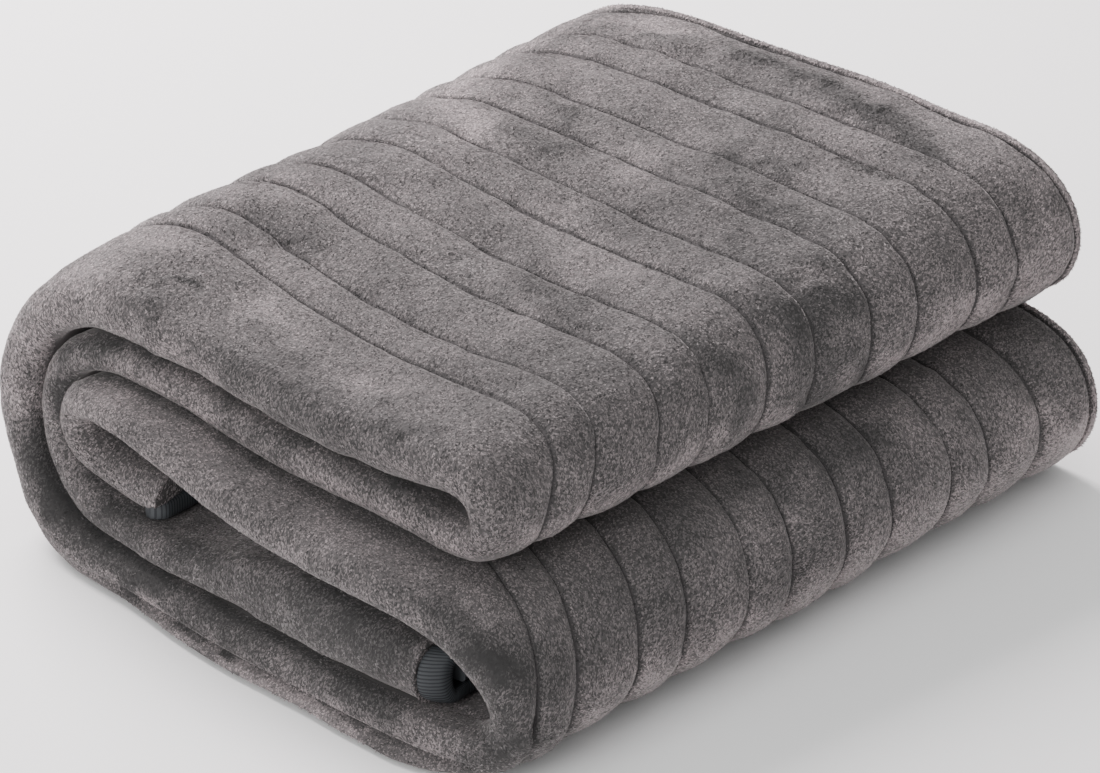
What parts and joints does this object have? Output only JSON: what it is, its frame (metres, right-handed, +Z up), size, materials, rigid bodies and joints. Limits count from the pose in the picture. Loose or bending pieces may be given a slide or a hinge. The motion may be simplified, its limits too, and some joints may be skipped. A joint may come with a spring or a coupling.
{
  "type": "electric heated blanket",
  "caption": "Electric heated plush throw with stitched channels, folded in three and then folded up into a cushion-shaped block, with ribbed tape bound over both short ends.",
  "frame": {"origin": "on the resting face, under the middle of the folded block's bounding box", "axes": "+X runs along the layers, from the single outer fold on the left to the two rolls on the right; +Y runs across the folded strip, from its fat rounded near edge to the hem at its far edge; +Z is up. The picture's camera stands at +X, -Y and above."},
  "size_m": [0.3808, 0.44, 0.1761],
  "materials": {
    "plush": "matte short-pile plush",
    "tape": "matte ribbed tape"
  },
  "bodies": {
    "root": {"blanket": "plush", "binding_inner": "tape", "binding_outer": "tape"}
  },
  "joints": []
}
